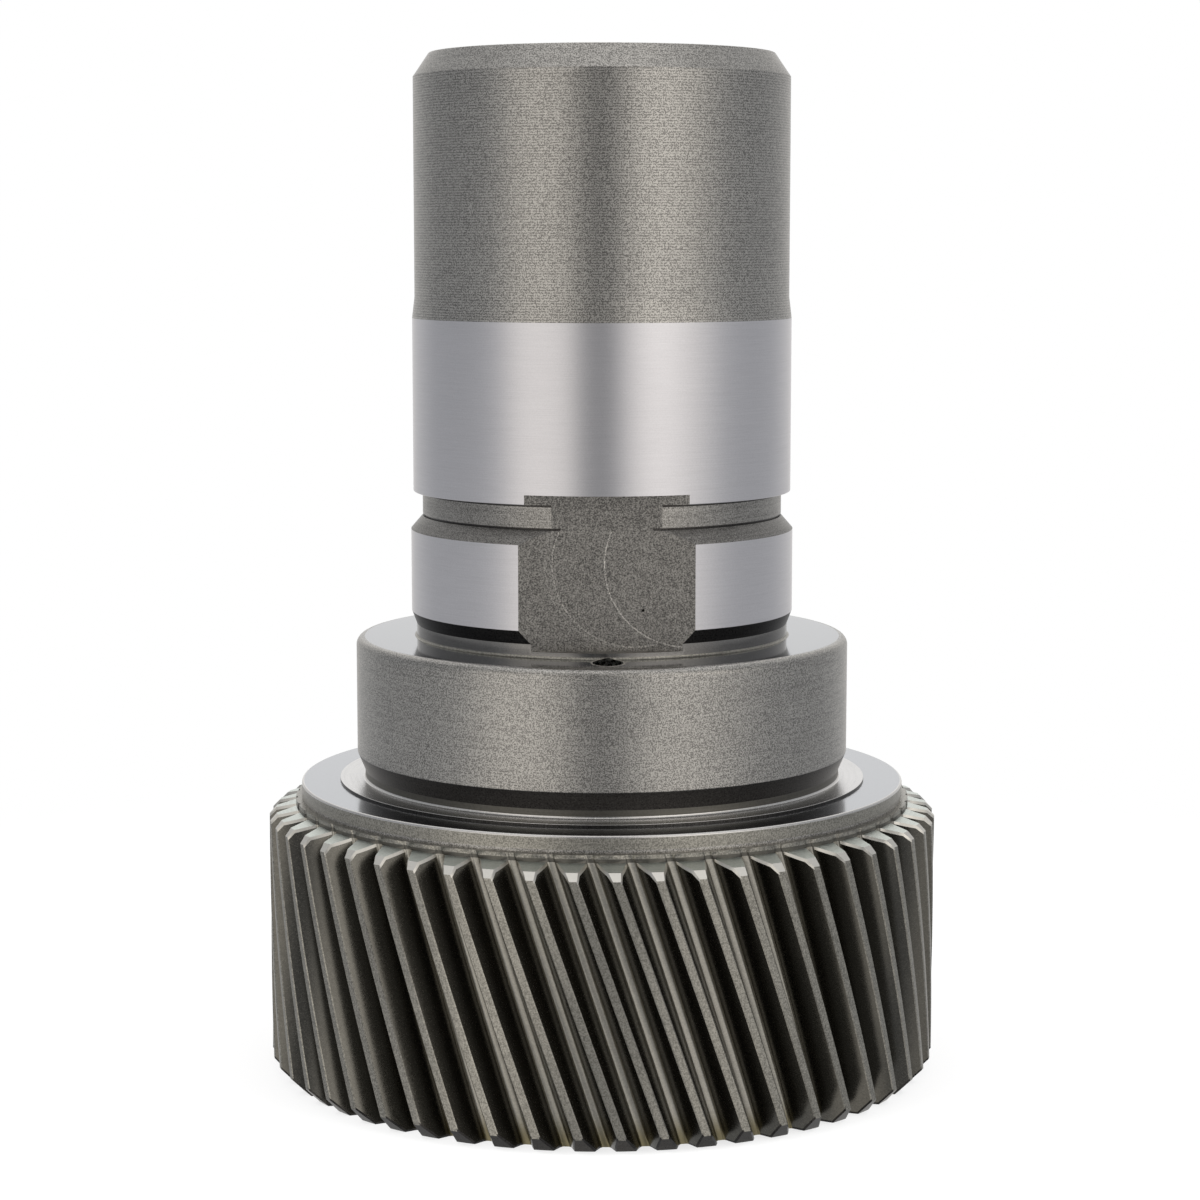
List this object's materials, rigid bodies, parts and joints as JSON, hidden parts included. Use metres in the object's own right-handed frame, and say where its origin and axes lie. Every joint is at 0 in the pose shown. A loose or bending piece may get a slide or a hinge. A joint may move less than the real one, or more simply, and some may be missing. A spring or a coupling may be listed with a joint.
{
  "type": "transmission input shaft",
  "caption": "Hollow steel input shaft with a helical sun gear, thrust face and plain collar, a bearing journal with ring groove and oil flat, and a long splined nose.",
  "frame": {"origin": "on the shaft axis at the gear's end face, which is the face it stands on", "axes": "+Z along the shaft axis from the gear end to the nose; the milled oil flat and the oil hole face -Y"},
  "size_m": [0.0878, 0.0878, 0.1324],
  "materials": {
    "steel": "case-hardened steel, turned and heat-darkened, with ground journals"
  },
  "bodies": {
    "root": {"input_shaft": "steel"}
  },
  "joints": []
}
